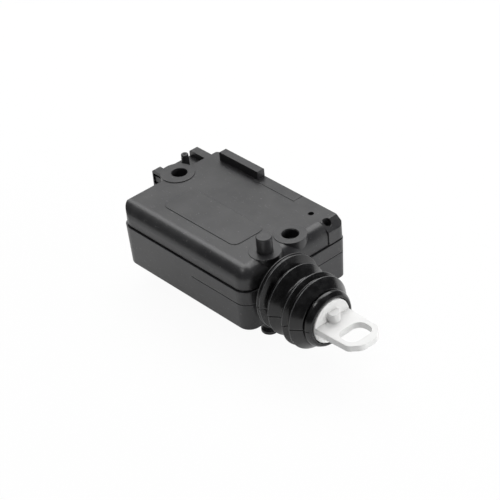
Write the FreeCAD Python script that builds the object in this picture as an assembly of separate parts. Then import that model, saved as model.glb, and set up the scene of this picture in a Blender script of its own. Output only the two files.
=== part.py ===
import FreeCAD, Part
import math
import os
from FreeCAD import Vector

# Door latch actuator: a small motor turns two gears and a rack, and the rack slides an eyed plunger
# in and out of a rubber bellows. Millimetres. The origin is on the front screw hole's axis, at the
# height of the plunger's axis. +X is the way the plunger comes out, +Z is up, -Y is the near side.

# Casing
casing_length = 70.0
casing_width = 49.2          # at the joint of the two shells
casing_height = 25.6
joint_height = 17.0          # underside to joint
axis_height = 11.3           # underside to plunger axis
front_overhang = 7.0         # front screw hole to front face
screw_offset = 4.1           # front screw hole from the casing's middle, to the far side
wall = 2.0
draft = 0.7                  # each side is this much further in at the underside
corner_radius = 5.5          # upright corners on the near side
far_corner_radius = 3.0
cover_inset = 0.6            # the cover stands back this far from the base at the joint
cover_round = 5.0            # along the cover's near and front edges
underside_round = 0.8
witness_height = 11.5        # thin line round the base, above the underside
witness_depth = 0.25
witness_start = -23.0        # where the line begins on the near side
label_rise = 0.2             # raised plain area for a label
label_length = 40.0
label_width = 15.0
label_corner = 3.0
label_gap = 16.2             # front face to label area
label_near = 10.2            # near face to label area
joint_gap = 0.5              # shadow gap between the shells
joint_gap_depth = 0.35       # into the cover
rear_chamfer = 0.45          # along the cover's rear top edge
far_strip_rise = 0.15        # low step along the far edge, in front of the rib
far_strip_width = 4.5
far_strip_length = 20.5

# Fixing points
hole_spacing = 61.2
pilot_radius = 2.3           # screws cut their own thread in it
lead_in_radius = 3.0
lead_in_depth = 3.5
lead_in_chamfer = 0.2
boss_radius = 6.2
rear_ring_radius = 6.6
rear_ring_rise = 0.3
rear_ring_back = 0.3         # ring's middle behind the hole
rear_ring_near = 0.6         # and to the near side of it
rear_boss_radius = 4.4
pin_radius = 2.95
pin_rise = 6.4
collar_radius = 5.95
collar_drop = 3.0            # lower collar below the underside
peg_drop = 6.3               # lower peg below its collar
peg_neck_radius = 2.3
peg_foot_radius = 3.3
peg_foot_height = 2.6
peg_back = 0.5               # peg's axis behind the pin's
peg_near = 0.5               # and to the near side of it
pin_back = 6.0               # pin axis behind the front face
blind_hole_radii = (1.1, 1.6)
blind_hole_backs = (10.9, 3.4)       # behind the front face
blind_hole_gaps = (6.6, 6.0)         # from the far face
blind_hole_depth = 3.2
blind_boss_wall = 1.2

# Plunger
plunger_near = 15.6          # casing's near face to the plunger's axis
rod_radius = 4.0
rod_end_back = 7.9           # rod's inner end behind the front face at rest
disc_face = 33.9             # front of the round disc
disc_radius = 8.4
disc_thickness = 2.6
neck_radius = 7.2            # groove behind the disc that holds the bellows' lip
neck_length = 2.2
plate_thickness = 2.5
plate_tip = 52.6
plate_half_width = 8.2
plate_taper = 0.6
slot_start = 41.3
slot_length = 8.2            # along the plunger
slot_width = 11.4            # across the plunger
slot_corner = 3.4
tab_length = 3.2             # rounded rib on the plate, in front of the disc
tab_width = 4.4
tab_height = 4.7             # above the plunger's axis
travel_in = 15.0
travel_out = 3.0

# Seal between the shells
seal_inset = 0.95
seal_width = 0.7
seal_depth = 0.7
seal_fit = 0.04
seal_round = 3.3             # seal's outer side round the rear screw's axis

# Spigot and bellows, along X from the front face
spigot_radius = 9.0
spigot_length = 5.6
spigot_bead = 0.7
spigot_bead_width = 1.6
rod_clearance = 0.08
bellows_wall = 1.1
bellows_fit = 0.12           # bellows to spigot
bellows_gap = 0.3            # bellows to the front face
lip_gap = 0.15               # bellows' lip to plunger disc and to its groove
lip_width = 1.8
disc_gap = 0.3               # round the plunger's disc
fold_edges = (3.7, 5.4, 8.9, 16.2, 19.7)
fold_radii = (14.2, 14.4, 13.8, 14.1, 13.9)
valley_radii = (13.7, 11.6, 10.6, 12.9)      # between one fold and the next
cone_start_radius = 11.2     # at the foot of the first fold
nose_back = 0.3              # nose behind the disc's face
nose_radius = 9.5
nose_ring_back = 2.0         # ring round the nose, behind its rim
nose_ring_radius = 10.6
nose_groove_depth = 0.5

# Rear block with the connector socket
block_length = 8.0
block_width = 22.1
block_far_gap = 3.8          # far face of the casing to the block
block_top_drop = 2.6         # its roof below the casing's top
block_bottom = 3.0           # above the underside
ear_width = 3.5
ear_pocket_depth = 1.0
ear_pocket_top = 1.2         # below the ear's top
ear_pocket_height = 4.6
ear_pocket_corner = 1.8      # at the casing's end
ear_pocket_wall = 0.6        # left at the rear end
ear_rib_top = 2.6            # rib in the pocket, below the ear's top
ear_rib_height = 2.5
ear_rib_gap = 2.2            # from the rib to the casing's rear face
ear_corner = 1.0             # round on the ear's rear top corner
socket_width = 10.2
socket_joint_gap = 1.6       # socket's sleeve to the joint
socket_floor = 5.0           # above the underside
socket_far_gap = 6.5         # far face of the casing to the socket
socket_wall = 1.4
post_radius = 1.6
post_top_radius = 1.4
post_height = 5.0
post_dimple_radius = 0.55
post_back = 4.0              # behind the rear face
post_far_gap = 12.7

# Rib on the far edge
rib_start = 6.5              # from the rear face
rib_length = 21.5
rib_width = 3.5
rib_height = 3.5
far_edge_gap = 0.8

# Front corner block on the far side
corner_block_width = 7.7
corner_block_length = 7.0
corner_block_proud = 0.4     # in front of the cover's face
corner_slope_length = 3.7
corner_slope_drop = 2.9

# Drive: heights above the underside, distances behind the front face
fine_module = 0.4
middle_module = 0.5
rack_module = 0.9
pinion_teeth = 10
first_wheel_teeth = 40
second_wheel_teeth = 32
pressure_angle = math.radians(20)
tooth_shift = 0.4            # pinions are cut this share of a module larger, wheels smaller
tooth_play = 0.10            # play between flanks
tip_shortening = 0.1         # share of a module
second_back = 31.7           # second axle behind the front face
second_height = 12.0
first_height = 13.9
motor_height = 12.5
axle_radius = 1.0
axle_clearance = 0.05
hub_radius = 1.9
layer_gap = 0.3
rack_width = 5.4
rack_far_gap = 0.4           # plunger axis to the rack's far side
middle_width = 1.9           # second wheel and the first gear's pinion
middle_gap = 0.5
fine_width = 2.0             # first wheel and the motor pinion
fine_gap = 0.4
motor_gap = 1.6              # fine wheel to motor
support_width = 2.1          # posts that hold the axles
rack_back = 2.3              # solid back under the tooth roots
rack_spare = 4.3             # rack beyond the last tooth in mesh
arm_block = 2.7              # length of the block that takes the rod
buffer_thickness = 1.2
buffer_radius = 6.4
buffer_fit = 0.1

# Motor
motor_end_gap = 0.6          # end cap to the casing's far wall
motor_cap_length = 3.0
motor_width = 20.1
motor_depth = 15.1
motor_sheet = 0.5
motor_boss_radius = 3.0
motor_boss_length = 0.8
shaft_radius = 0.75
winding_space = 2.6          # armature to bush and to commutator
magnet_overhang = 1.5        # beyond the armature at each end
armature_gap = 0.6           # armature to the can's flat sides
air_gap = 0.4
magnet_fit = 0.05
bush_radius = 2.4
bush_length = 2.4
commutator_radius = 2.0
commutator_length = 3.0
core_radius = 2.2
stem_half = 0.9
shoe_thickness = 1.3
shoe_half_angle = math.radians(36)
coil_half = 1.7
coil_overhang = 0.8
magnet_half_angle = math.radians(36)

# Cradle that holds the motor: two ribs under it and a cheek on each side
cradle_width = 13.0
cradle_thickness = 1.5
cradle_inset = 4.0
cradle_fit = 0.1
cheek_start = 6.0
rear_cheek = 6.4
front_cheek = 10.0

# Terminals
blade_height = 2.8
blade_thickness = 0.8
blade_reach = 7.5            # into the socket from its end wall
blade_pitch = 5.0
strip_thickness = 0.6
strip_gap = 0.4
riser_fit = 0.2              # socket's end wall to the first riser
riser_air = 0.3              # second riser to the motor

# Places worked out from the sizes above
front_x = front_overhang
rear_x = front_x - casing_length
middle_y = -screw_offset
near_y = middle_y - casing_width / 2
far_y = middle_y + casing_width / 2
under_z = -axis_height
joint_z = under_z + joint_height
top_z = under_z + casing_height
pin_x = front_x - pin_back
plunger_y = near_y + plunger_near
pin_top_z = top_z + pin_rise
collar_z = under_z - collar_drop
rear_hole_x = -hole_spacing
block_rear_x = rear_x - block_length
block_roof_z = top_z - block_top_drop
block_far_y = far_y - block_far_gap
block_near_y = block_far_y - block_width
socket_far_y = far_y - socket_far_gap
socket_near_y = socket_far_y - socket_width
socket_low_z = under_z + socket_floor
socket_high_z = joint_z - socket_joint_gap - socket_wall
rack_tail_x = front_x - second_back - travel_out - rack_spare
rear_buffer_x = rack_tail_x - travel_in - layer_gap
front_buffer_x = front_x - rod_end_back + travel_out + layer_gap
buffer_seat_x = front_buffer_x + buffer_thickness
rack_layer = (plunger_y - rack_far_gap - rack_width, plunger_y - rack_far_gap)
middle_layer = (rack_layer[1] + middle_gap, rack_layer[1] + middle_gap + middle_width)
fine_layer = (middle_layer[1] + fine_gap, middle_layer[1] + fine_gap + fine_width)
motor_face = fine_layer[1] + motor_gap
cap_end_y = far_y - wall - motor_end_gap
cap_y = cap_end_y - motor_cap_length
armature_y = motor_face + bush_length + winding_space
armature_radius = motor_depth / 2 - motor_sheet - armature_gap
commutator_y = cap_y - commutator_length - 0.4
armature_length = commutator_y - winding_space - armature_y
terminal_space = riser_fit + 2 * strip_thickness + strip_gap + riser_air


def round_corner(before, corner, after):
    """First point, middle point and last point of the arc that rounds a corner (u, v, radius)."""
    here = Vector(corner[0], corner[1], 0)
    if len(corner) < 3 or corner[2] == 0:
        return here, None, here
    back = (Vector(before[0], before[1], 0) - here).normalize()
    ahead = (Vector(after[0], after[1], 0) - here).normalize()
    half = back.getAngle(ahead) / 2
    cut = corner[2] / math.tan(half)
    inward = (back + ahead).normalize()
    middle = here + inward * (corner[2] / math.sin(half) - corner[2])
    return here + back * cut, middle, here + ahead * cut


def outline(corners, place):
    """Closed wire through corners (u, v) or (u, v, radius); place turns (u, v) into a point."""
    count = len(corners)
    rounds = []
    for i in range(count):
        rounds.append(round_corner(corners[i - 1], corners[i], corners[(i + 1) % count]))
    edges = []
    for i in range(count):
        first, middle, last = rounds[i]
        if middle is not None:
            points = [place(p.x, p.y) for p in (first, middle, last)]
            edges.append(Part.Arc(points[0], points[1], points[2]).toShape())
        start = place(last.x, last.y)
        stop = place(rounds[(i + 1) % count][0].x, rounds[(i + 1) % count][0].y)
        if start.distanceToPoint(stop) > 1e-6:
            edges.append(Part.LineSegment(start, stop).toShape())
    return Part.Wire(edges)


def slab_z(corners, low, high):
    face = Part.Face(outline(corners, lambda u, v: Vector(u, v, low)))
    return face.extrude(Vector(0, 0, high - low))


def slab_y(corners, low, high):
    face = Part.Face(outline(corners, lambda u, v: Vector(u, low, v)))
    return face.extrude(Vector(0, high - low, 0))


def slab_x(corners, low, high):
    face = Part.Face(outline(corners, lambda u, v: Vector(low, u, v)))
    return face.extrude(Vector(high - low, 0, 0))


def box(x_range, y_range, z_range):
    size = [abs(r[1] - r[0]) for r in (x_range, y_range, z_range)]
    return Part.makeBox(size[0], size[1], size[2], Vector(min(x_range), min(y_range), min(z_range)))


def post(radius, x, y, low, high):
    return Part.makeCylinder(radius, high - low, Vector(x, y, low), Vector(0, 0, 1))


def bar_x(radius, y, z, low, high):
    return Part.makeCylinder(radius, high - low, Vector(low, y, z), Vector(1, 0, 0))


def bar_y(radius, x, z, low, high):
    return Part.makeCylinder(radius, high - low, Vector(x, low, z), Vector(0, 1, 0))


def turned_z(corners, x, y):
    """Solid of revolution about an upright axis; corners are (radius, z, rounding)."""
    face = Part.Face(outline(corners, lambda u, v: Vector(x + u, y, v)))
    return face.revolve(Vector(x, y, 0), Vector(0, 0, 1), 360)


def turned_x(corners):
    """Solid of revolution about the plunger's axis; corners are (x, radius, rounding)."""
    face = Part.Face(outline(corners, lambda u, v: Vector(u, plunger_y, v)))
    return face.revolve(Vector(0, plunger_y, 0), Vector(1, 0, 0), 360)


def joined(first, *others):
    return first.fuse(list(others)).removeSplitter()


def group(shapes):
    return Part.makeCompound(shapes)


def casing_corners(inset, radius=corner_radius, far_radius=far_corner_radius):
    """Plan of the casing, as seen from above, drawn in by inset on every side."""
    near_round = max(radius - inset, 0.3)
    far_round = max(far_radius - inset, 0.3)
    return [
        (rear_x + inset, near_y + inset, near_round),
        (front_x - inset, near_y + inset, near_round),
        (front_x - inset, far_y - inset, far_round),
        (rear_x + inset, far_y - inset, far_round),
    ]


def tapered_block(low_inset, low_z, high_inset, high_z):
    low = outline(casing_corners(low_inset), lambda u, v: Vector(u, v, low_z))
    high = outline(casing_corners(high_inset), lambda u, v: Vector(u, v, high_z))
    return Part.makeLoft([low, high], True, True)


# Base shell

def lower_tray():
    outer = tapered_block(draft, under_z, 0, joint_z)
    lowest = [e for e in outer.Edges if e.BoundBox.ZMax < under_z + 0.01]
    outer = outer.makeFillet(underside_round, lowest)
    slope = draft / joint_height
    spare = 1.0
    inner = tapered_block(wall + draft - slope * wall, under_z + wall, wall - slope * spare, joint_z + spare)
    return outer, inner


def witness_line():
    """Thin groove at half height on the near side's front part and across the front."""
    level = under_z + witness_height
    inset = draft * (joint_height - witness_height) / joint_height
    plan = casing_corners(inset)
    ring = slab_z(plan, level - witness_depth, level + witness_depth)
    core = slab_z(casing_corners(inset + witness_depth), level - 1, level + 1)
    reach = box((witness_start, front_x + 1), (near_y - 1, far_y + 1), (level - 1, level + 1))
    return ring.cut(core).common(reach)


def rear_block(low, high):
    """Block behind the rear face that carries the socket, between two heights."""
    return box((block_rear_x, rear_x + wall), (block_near_y, block_far_y), (low, high))


def socket_end():
    """x of the socket's end: the terminals need room between it and the motor."""
    return axle_place("motor")[0] - motor_width / 2 - terminal_space - socket_wall


def socket_cavity():
    plan = [
        (socket_near_y, socket_low_z, 0.6),
        (socket_far_y, socket_low_z, 0.6),
        (socket_far_y, socket_high_z, 0.6),
        (socket_near_y, socket_high_z, 0.6),
    ]
    return slab_x(plan, block_rear_x - 1, socket_end())


def socket_sleeve():
    grown = [
        (socket_near_y - socket_wall, socket_low_z - socket_wall, 1),
        (socket_far_y + socket_wall, socket_low_z - socket_wall, 1),
        (socket_far_y + socket_wall, socket_high_z + socket_wall, 1),
        (socket_near_y - socket_wall, socket_high_z + socket_wall, 1),
    ]
    return slab_x(grown, rear_x, socket_end() + socket_wall)


def ear_pocket():
    """Pocket in the near ear's outer side, with a rib along it."""
    low = top_z - ear_pocket_top - ear_pocket_height
    high = top_z - ear_pocket_top
    start = block_rear_x + ear_pocket_wall
    stop = rear_x - ear_pocket_wall
    corners = [
        (start, low, 0.3),
        (stop, low, ear_pocket_corner),
        (stop, high, ear_pocket_corner),
        (start, high, 0.3),
    ]
    pocket = slab_y(corners, block_near_y - 1, block_near_y + ear_pocket_depth)
    rib_high = top_z - ear_rib_top
    rib_y = (block_near_y + ear_pocket_depth / 2, block_near_y + ear_pocket_depth + 1)
    return pocket.cut(box((start - 1, rear_x - ear_rib_gap), rib_y, (rib_high - ear_rib_height, rib_high)))


def screw_hole(x, rise):
    """Pilot hole through both shells, wider at each end, chamfered at the top."""
    pilot = post(pilot_radius, x, 0, under_z - 1, top_z + 1)
    upper = post(lead_in_radius, x, 0, top_z - lead_in_depth, top_z + 1)
    lower = post(lead_in_radius, x, 0, under_z - 1, under_z + lead_in_depth)
    rim = top_z + rise
    cone = [(0, rim - lead_in_chamfer), (lead_in_radius, rim - lead_in_chamfer), (lead_in_radius + lead_in_chamfer, rim)]
    cone += [(lead_in_radius + lead_in_chamfer, rim + 1), (0, rim + 1)]
    return [pilot, upper, lower, turned_z(cone, x, 0)]


def screw_holes():
    return screw_hole(0, 0) + screw_hole(rear_hole_x, rear_ring_rise)


def buffer_pocket():
    """Room for the front buffer and the rack's end, in both shells."""
    return bar_x(buffer_radius + buffer_fit, plunger_y, 0, pin_x - collar_radius - 1, buffer_seat_x)


def lower_peg():
    foot_z = collar_z - peg_drop
    corners = [
        (0, collar_z + 1),
        (0, foot_z),
        (peg_foot_radius, foot_z, 0.5),
        (peg_foot_radius, foot_z + peg_foot_height * 0.55, 0.3),
        (peg_neck_radius, foot_z + peg_foot_height, 0.3),
        (peg_neck_radius, collar_z + 1),
    ]
    return turned_z(corners, pin_x - peg_back, plunger_y - peg_near)


def spigot():
    """Short tube in front of the casing that the bellows is pushed on to."""
    bead_x = front_x + spigot_length - spigot_bead_width
    top = spigot_radius + spigot_bead
    corners = [
        (buffer_seat_x, 0),
        (buffer_seat_x, buffer_radius + buffer_fit),
        (front_x - wall, buffer_radius + buffer_fit),
        (front_x - wall, spigot_radius),
        (bead_x - spigot_bead, spigot_radius),
        (bead_x, top, 0.3),
        (front_x + spigot_length - 0.5, top, 0.3),
        (front_x + spigot_length, spigot_radius - 0.3, 0.3),
        (front_x + spigot_length, 0),
    ]
    return turned_x(corners)


def rod_bore():
    return bar_x(rod_radius + rod_clearance, plunger_y, 0, buffer_seat_x - 1, front_x + spigot_length + 1)


def axle_place(name):
    """x and z of the motor shaft and the two axles."""
    second = (front_x - second_back, under_z + second_height)
    first_z = under_z + first_height
    distance = middle_module * (pinion_teeth + second_wheel_teeth) / 2
    first = (second[0] - math.sqrt(distance ** 2 - (first_z - second[1]) ** 2), first_z)
    motor_z = under_z + motor_height
    distance = fine_module * (pinion_teeth + first_wheel_teeth) / 2
    motor = (first[0] - math.sqrt(distance ** 2 - (motor_z - first_z) ** 2), motor_z)
    return {"second": second, "first": first, "motor": motor}[name]


def axle_ends(name):
    """y where each axle starts and stops: near support, and far support."""
    near_end = rack_layer[0] - layer_gap - support_width
    far_end = {"first": motor_face - 0.1, "second": motor_face + 2.4}[name]
    return near_end, far_end


def axle_supports():
    """Posts on the base's floor that hold the axles at both ends."""
    posts = []
    near_low = rack_layer[0] - layer_gap - support_width - 0.2
    near_high = rack_layer[0] - layer_gap
    far_low = fine_layer[1] + layer_gap
    for name in ("first", "second"):
        x, z = axle_place(name)
        far_high = motor_face if name == "first" else motor_face + 2.6
        half = 1.9
        for low, high in ((near_low, near_high), (far_low, far_high)):
            posts.append(box((x - half, x + half), (low, high), (under_z + wall - 0.2, z + 1.6)))
    return posts


def motor_cradle():
    """Two ribs across the base's floor, hollowed to the motor's round sides."""
    x, z = axle_place("motor")
    ribs = []
    low = under_z + wall - 0.2
    half = cradle_width / 2
    for y in (motor_face + cradle_inset, cap_y - cradle_inset):
        ribs.append(box((x - half, x + half), (y, y + cradle_thickness), (low, z - motor_depth / 2)))
    side = motor_width / 2 + cradle_fit
    for x_side, length in ((x - side - cradle_thickness, rear_cheek), (x + side, front_cheek)):
        y_range = (motor_face + cheek_start, motor_face + cheek_start + length)
        ribs.append(box((x_side, x_side + cradle_thickness), y_range, (low, z)))
    return ribs


def rack_rails():
    """Two low rails on the floor that the rack slides along, and one guide beside it."""
    low = under_z + wall - 0.2
    high = rack_levels()["bottom"] - layer_gap
    start = rear_buffer_x
    stop = front_x - wall
    rails = []
    for y in (rack_layer[0] + 0.3, rack_layer[1] - 1.5):
        rails.append(box((start, stop), (y, y + 1.2), (low, high)))
    return rails


def rear_buffer_stop():
    """Wall behind the rack's rear end that carries the rear buffer."""
    x = rear_buffer_x - buffer_thickness
    return box((x - 1.8, x), (rack_layer[0], rack_layer[1]), (under_z + wall - 0.2, rack_levels()["tip"]))


def make_lower_shell():
    outer, inner = lower_tray()
    floor_z = under_z + wall
    solid = joined(outer, rear_block(under_z + block_bottom, joint_z))
    hollow = solid.cut(inner)
    near_foot = post(rear_boss_radius, rear_hole_x, 0, under_z, joint_z)
    front_foot = post(boss_radius, 0, 0, under_z, joint_z).common(outer)
    collar = post(collar_radius, pin_x, plunger_y, collar_z, floor_z)
    sleeve = socket_sleeve()
    extras = [near_foot, front_foot, collar, sleeve, lower_peg()]
    extras += axle_supports() + motor_cradle() + rack_rails() + [rear_buffer_stop()]
    reach = (buffer_seat_x, front_x + spigot_length)
    tube_low = spigot().common(box(reach, (near_y, far_y), (under_z, joint_z)))
    shell = hollow.fuse(extras + [tube_low])
    cuts = [socket_cavity(), rod_bore(), witness_line(), seal_groove(), buffer_pocket()]
    cuts += screw_holes()
    for name in ("first", "second"):
        x, z = axle_place(name)
        ends = axle_ends(name)
        cuts.append(bar_y(axle_radius + 0.02, x, z, ends[0], ends[1]))
    cuts += terminal_slots()
    return shell.cut(cuts).removeSplitter()


# Cover

def cover_block(inset, top, rounding):
    """Cover's form: straight sides, with a long round along the near and the front top edges."""
    plan = casing_corners(inset)
    plan[1] = (plan[1][0], plan[1][1], rounding + 0.25)
    sharp = [(p[0], p[1]) if i != 1 else p for i, p in enumerate(plan)]
    body = slab_z(sharp, joint_z, top)
    rounded = []
    for edge in body.Edges:
        middle = edge.BoundBox.Center
        if edge.BoundBox.ZMin < top - 0.01:
            continue
        if middle.x > front_x - inset - 3 or middle.y < near_y + inset + 3:
            rounded.append(edge)
    body = body.makeFillet(rounding, rounded)
    plan[1] = (plan[1][0], plan[1][1])
    return body.common(slab_z(plan, joint_z, top))


def rear_edge_wedge():
    """What the chamfer takes off along the cover's rear top edge."""
    rear = rear_x + cover_inset
    corners = [
        (rear - 1, top_z - rear_chamfer - 1),
        (rear + rear_chamfer + 1, top_z + 1),
        (rear - 1, top_z + 1),
    ]
    return slab_y(corners, near_y - 1, far_y + 1)


def joint_groove():
    """Shadow gap round the cover's lower edge."""
    grown = slab_z(casing_corners(-1), joint_z - 0.5, joint_z + joint_gap)
    return grown.cut(slab_z(casing_corners(cover_inset + joint_gap_depth), joint_z - 1, joint_z + 1))


def corner_block():
    """Square-topped corner on the far side of the front edge, with a short slope."""
    x_front = front_x - cover_inset + corner_block_proud
    corners = [
        (x_front - corner_block_length, joint_z),
        (x_front, joint_z),
        (x_front, top_z - corner_slope_drop, 0.6),
        (x_front - corner_slope_length, top_z, 0.8),
        (x_front - corner_block_length, top_z),
    ]
    far = far_y - cover_inset
    block = slab_y(corners, far - corner_block_width, far)
    return block.common(slab_z(casing_corners(cover_inset - corner_block_proud), joint_z, top_z))


def blind_holes():
    """The two blind holes beside the front corner, and the bosses under them."""
    holes = []
    bosses = []
    for radius, back, gap in zip(blind_hole_radii, blind_hole_backs, blind_hole_gaps):
        x = front_x - back
        y = far_y - gap
        holes.append(post(radius, x, y, top_z - blind_hole_depth, top_z + 1))
        bosses.append(post(radius + blind_boss_wall, x, y, top_z - blind_hole_depth - blind_boss_wall, top_z))
    return holes, bosses


def far_rib():
    start = rear_x + rib_start
    far = far_y - far_edge_gap
    rib = box((start, start + rib_length), (far - rib_width, far), (top_z - 0.5, top_z + rib_height))
    upper = [e for e in rib.Edges if e.BoundBox.ZMin > top_z + rib_height - 0.01]
    return rib.makeFillet(0.3, upper)


def far_strip():
    start = rear_x + rib_start + rib_length
    far = far_y - far_edge_gap
    y_range = (far - far_strip_width, far)
    return box((start - 1, start + far_strip_length), y_range, (top_z - 1, top_z + far_strip_rise))


def upper_pin():
    corners = [
        (0, top_z - 1),
        (pin_radius, top_z - 1),
        (pin_radius, pin_top_z, 0.5),
        (0, pin_top_z),
    ]
    return turned_z(corners, pin_x, plunger_y)


def roof_post():
    x = rear_x - post_back
    y = far_y - post_far_gap
    corners = [
        (0, block_roof_z - 0.5),
        (post_radius, block_roof_z - 0.5),
        (post_radius, block_roof_z),
        (post_top_radius, block_roof_z + post_height, 0.3),
        (post_dimple_radius, block_roof_z + post_height),
        (0, block_roof_z + post_height - post_dimple_radius),
    ]
    return turned_z(corners, x, y)


def label_area():
    x_high = front_x - label_gap
    x_low = x_high - label_length
    y_low = near_y + label_near
    corners = [
        (x_low, y_low, label_corner),
        (x_high, y_low, label_corner),
        (x_high, y_low + label_width, label_corner),
        (x_low, y_low + label_width, label_corner),
    ]
    return slab_z(corners, top_z - wall / 2, top_z + label_rise)


def ear(low):
    """Upright wall along one side of the rear block."""
    corners = [
        (block_rear_x, joint_z),
        (rear_x + wall, joint_z),
        (rear_x + wall, top_z),
        (block_rear_x, top_z, ear_corner),
    ]
    return slab_y(corners, low, low + ear_width)


def make_upper_shell():
    outer = cover_block(cover_inset, top_z, cover_round).cut(rear_edge_wedge())
    inner = cover_block(cover_inset + wall, top_z - wall, cover_round - wall)
    outer = joined(outer, corner_block())
    holes, bosses = blind_holes()
    bosses = [boss.common(outer) for boss in bosses]
    rear_boss = post(rear_boss_radius, rear_hole_x, 0, joint_z, top_z)
    front_boss = post(boss_radius, 0, 0, joint_z, top_z)
    collar = post(collar_radius, pin_x, plunger_y, joint_z, top_z)
    shell = outer.cut(inner).fuse([rear_boss, front_boss, collar] + bosses).cut(joint_groove())
    roof = rear_block(joint_z, block_roof_z).cut(inner)
    ears = [ear(block_near_y).cut(inner), ear(block_far_y - ear_width).cut(inner)]
    ring_x = rear_hole_x - rear_ring_back
    ring = post(rear_ring_radius, ring_x, -rear_ring_near, block_roof_z - 1, top_z + rear_ring_rise)
    reach = (buffer_seat_x, front_x + spigot_length)
    tube_top = spigot().common(box(reach, (near_y, far_y), (joint_z, top_z)))
    shell = shell.fuse([roof, ring, tube_top, upper_pin(), roof_post(), far_rib(), far_strip(), label_area()] + ears)
    cuts = screw_holes() + holes + [ear_pocket(), buffer_pocket()]
    return shell.cut(cuts).removeSplitter()


# Seal between the shells

def seal_region(inset, around, low, high):
    """Plan inside the seal's line, which passes the rear screw boss on its inner side."""
    return slab_z(casing_corners(inset), low, high).cut(post(around, rear_hole_x, 0, low - 1, high + 1))


def seal_band(play, high):
    outer = seal_region(seal_inset + play, seal_round + play, joint_z - seal_depth, high)
    inset = seal_inset + seal_width - play
    return outer.cut(seal_region(inset, seal_round + seal_width - play, joint_z - 2, high + 1))


def seal_groove():
    return seal_band(0, joint_z + 1)


def make_shell_seal():
    return seal_band(seal_fit, joint_z)


# Bellows: a fold with two edges, three more folds, and a cone that closes on the plunger's disc

def bellows_section():
    """Wall of the bellows as (x, radius, rounding): outside from root to nose, then back inside."""
    thick = bellows_wall
    root = spigot_radius + bellows_fit
    bead = root + spigot_bead
    nose = disc_face - nose_back
    lip_front = disc_face - disc_thickness - lip_gap
    lip_back = lip_front - lip_width
    mouth = disc_radius + disc_gap
    edges = [front_x + e for e in fold_edges]
    ring = nose - nose_ring_back
    corners = [(front_x + bellows_gap, root), (front_x + bellows_gap, root + thick + 0.5, 0.4)]
    corners += [(front_x + bellows_gap + 1.2, cone_start_radius, 0.5)]
    for i, edge in enumerate(edges):
        corners.append((edge, fold_radii[i], 0.35 if i < 2 else 0.5))
        if i < len(valley_radii):
            corners.append(((edge + edges[i + 1]) / 2, valley_radii[i], 0.35 if i == 0 else 0.7))
    corners += [(ring - 1.4, nose_ring_radius - nose_groove_depth, 0.3), (ring - 0.6, nose_ring_radius, 0.3)]
    corners += [(ring + 0.5, nose_ring_radius, 0.3), (ring + 0.9, nose_radius, 0.1), (nose, nose_radius, 0.3)]
    corners += [(nose, mouth, 0.2), (lip_front, mouth), (lip_front, neck_radius + lip_gap)]
    corners += [(lip_back, neck_radius + lip_gap), (lip_back, mouth + 0.2, 0.3)]
    for i in (4, 3, 2):
        shift = 0.2 if i == 4 else 0
        corners.append((edges[i] - shift, fold_radii[i] - thick - 0.35, 0.3))
        corners.append(((edges[i] + edges[i - 1]) / 2, valley_radii[i - 1] - thick, 0.5))
    corners += [(edges[1] - 0.1, fold_radii[1] - thick - 0.3, 0.3), (edges[0] + 0.2, fold_radii[0] - thick - 0.3, 0.3)]
    corners += [(front_x + bellows_gap + 1.7, bead + thick * 0.5, 0.2), (front_x + spigot_length, bead + thick * 0.5)]
    corners += [(front_x + spigot_length, bead, 0.2), (front_x + spigot_length - spigot_bead_width - 0.1, bead)]
    corners += [(front_x + spigot_length - spigot_bead_width - spigot_bead - 0.1, root)]
    return corners


def make_bellows():
    return turned_x(bellows_section())


# Plunger

def make_plunger():
    face = disc_face
    back = face - disc_thickness
    rod_end = front_x - rod_end_back
    corners = [
        (rod_end, 0),
        (rod_end, rod_radius, 0.4),
        (back - neck_length - 1.0, rod_radius),
        (back - neck_length, neck_radius, 0.3),
        (back, neck_radius),
        (back, disc_radius, 0.3),
        (face, disc_radius, 0.5),
        (face, 0),
    ]
    body = turned_x(corners)
    low = -plate_thickness / 2
    half = plate_half_width
    slim = half - plate_taper
    plan = [
        (face - 1, plunger_y - half),
        (plate_tip - 3.6, plunger_y - slim, 2.6),
        (plate_tip, plunger_y - slim + 4.0, 3.6),
        (plate_tip, plunger_y + slim - 4.0, 3.6),
        (plate_tip - 3.6, plunger_y + slim, 2.6),
        (face - 1, plunger_y + half),
    ]
    plate = slab_z(plan, low, -low)
    rims = [e for e in plate.Edges if abs(e.BoundBox.ZMax - e.BoundBox.ZMin) < 0.01 and e.BoundBox.XMax > face]
    plate = plate.makeFillet(0.35, rims)
    slot_y = slot_width / 2
    slot_plan = [
        (slot_start, plunger_y - slot_y, slot_corner),
        (slot_start + slot_length, plunger_y - slot_y, slot_corner),
        (slot_start + slot_length, plunger_y + slot_y, slot_corner),
        (slot_start, plunger_y + slot_y, slot_corner),
    ]
    slot = slab_z(slot_plan, low - 1, 1 - low)
    tab_half = tab_width / 2
    tab_plan = [
        (face - 0.5, plunger_y - tab_half),
        (face + tab_length, plunger_y - tab_half, tab_half * 0.96),
        (face + tab_length, plunger_y + tab_half, tab_half * 0.96),
        (face - 0.5, plunger_y + tab_half),
    ]
    tab = slab_z(tab_plan, low, tab_height)
    return body.fuse([plate, tab]).cut(slot).removeSplitter()


# Gears

def involute(angle):
    return math.tan(angle) - angle


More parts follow.
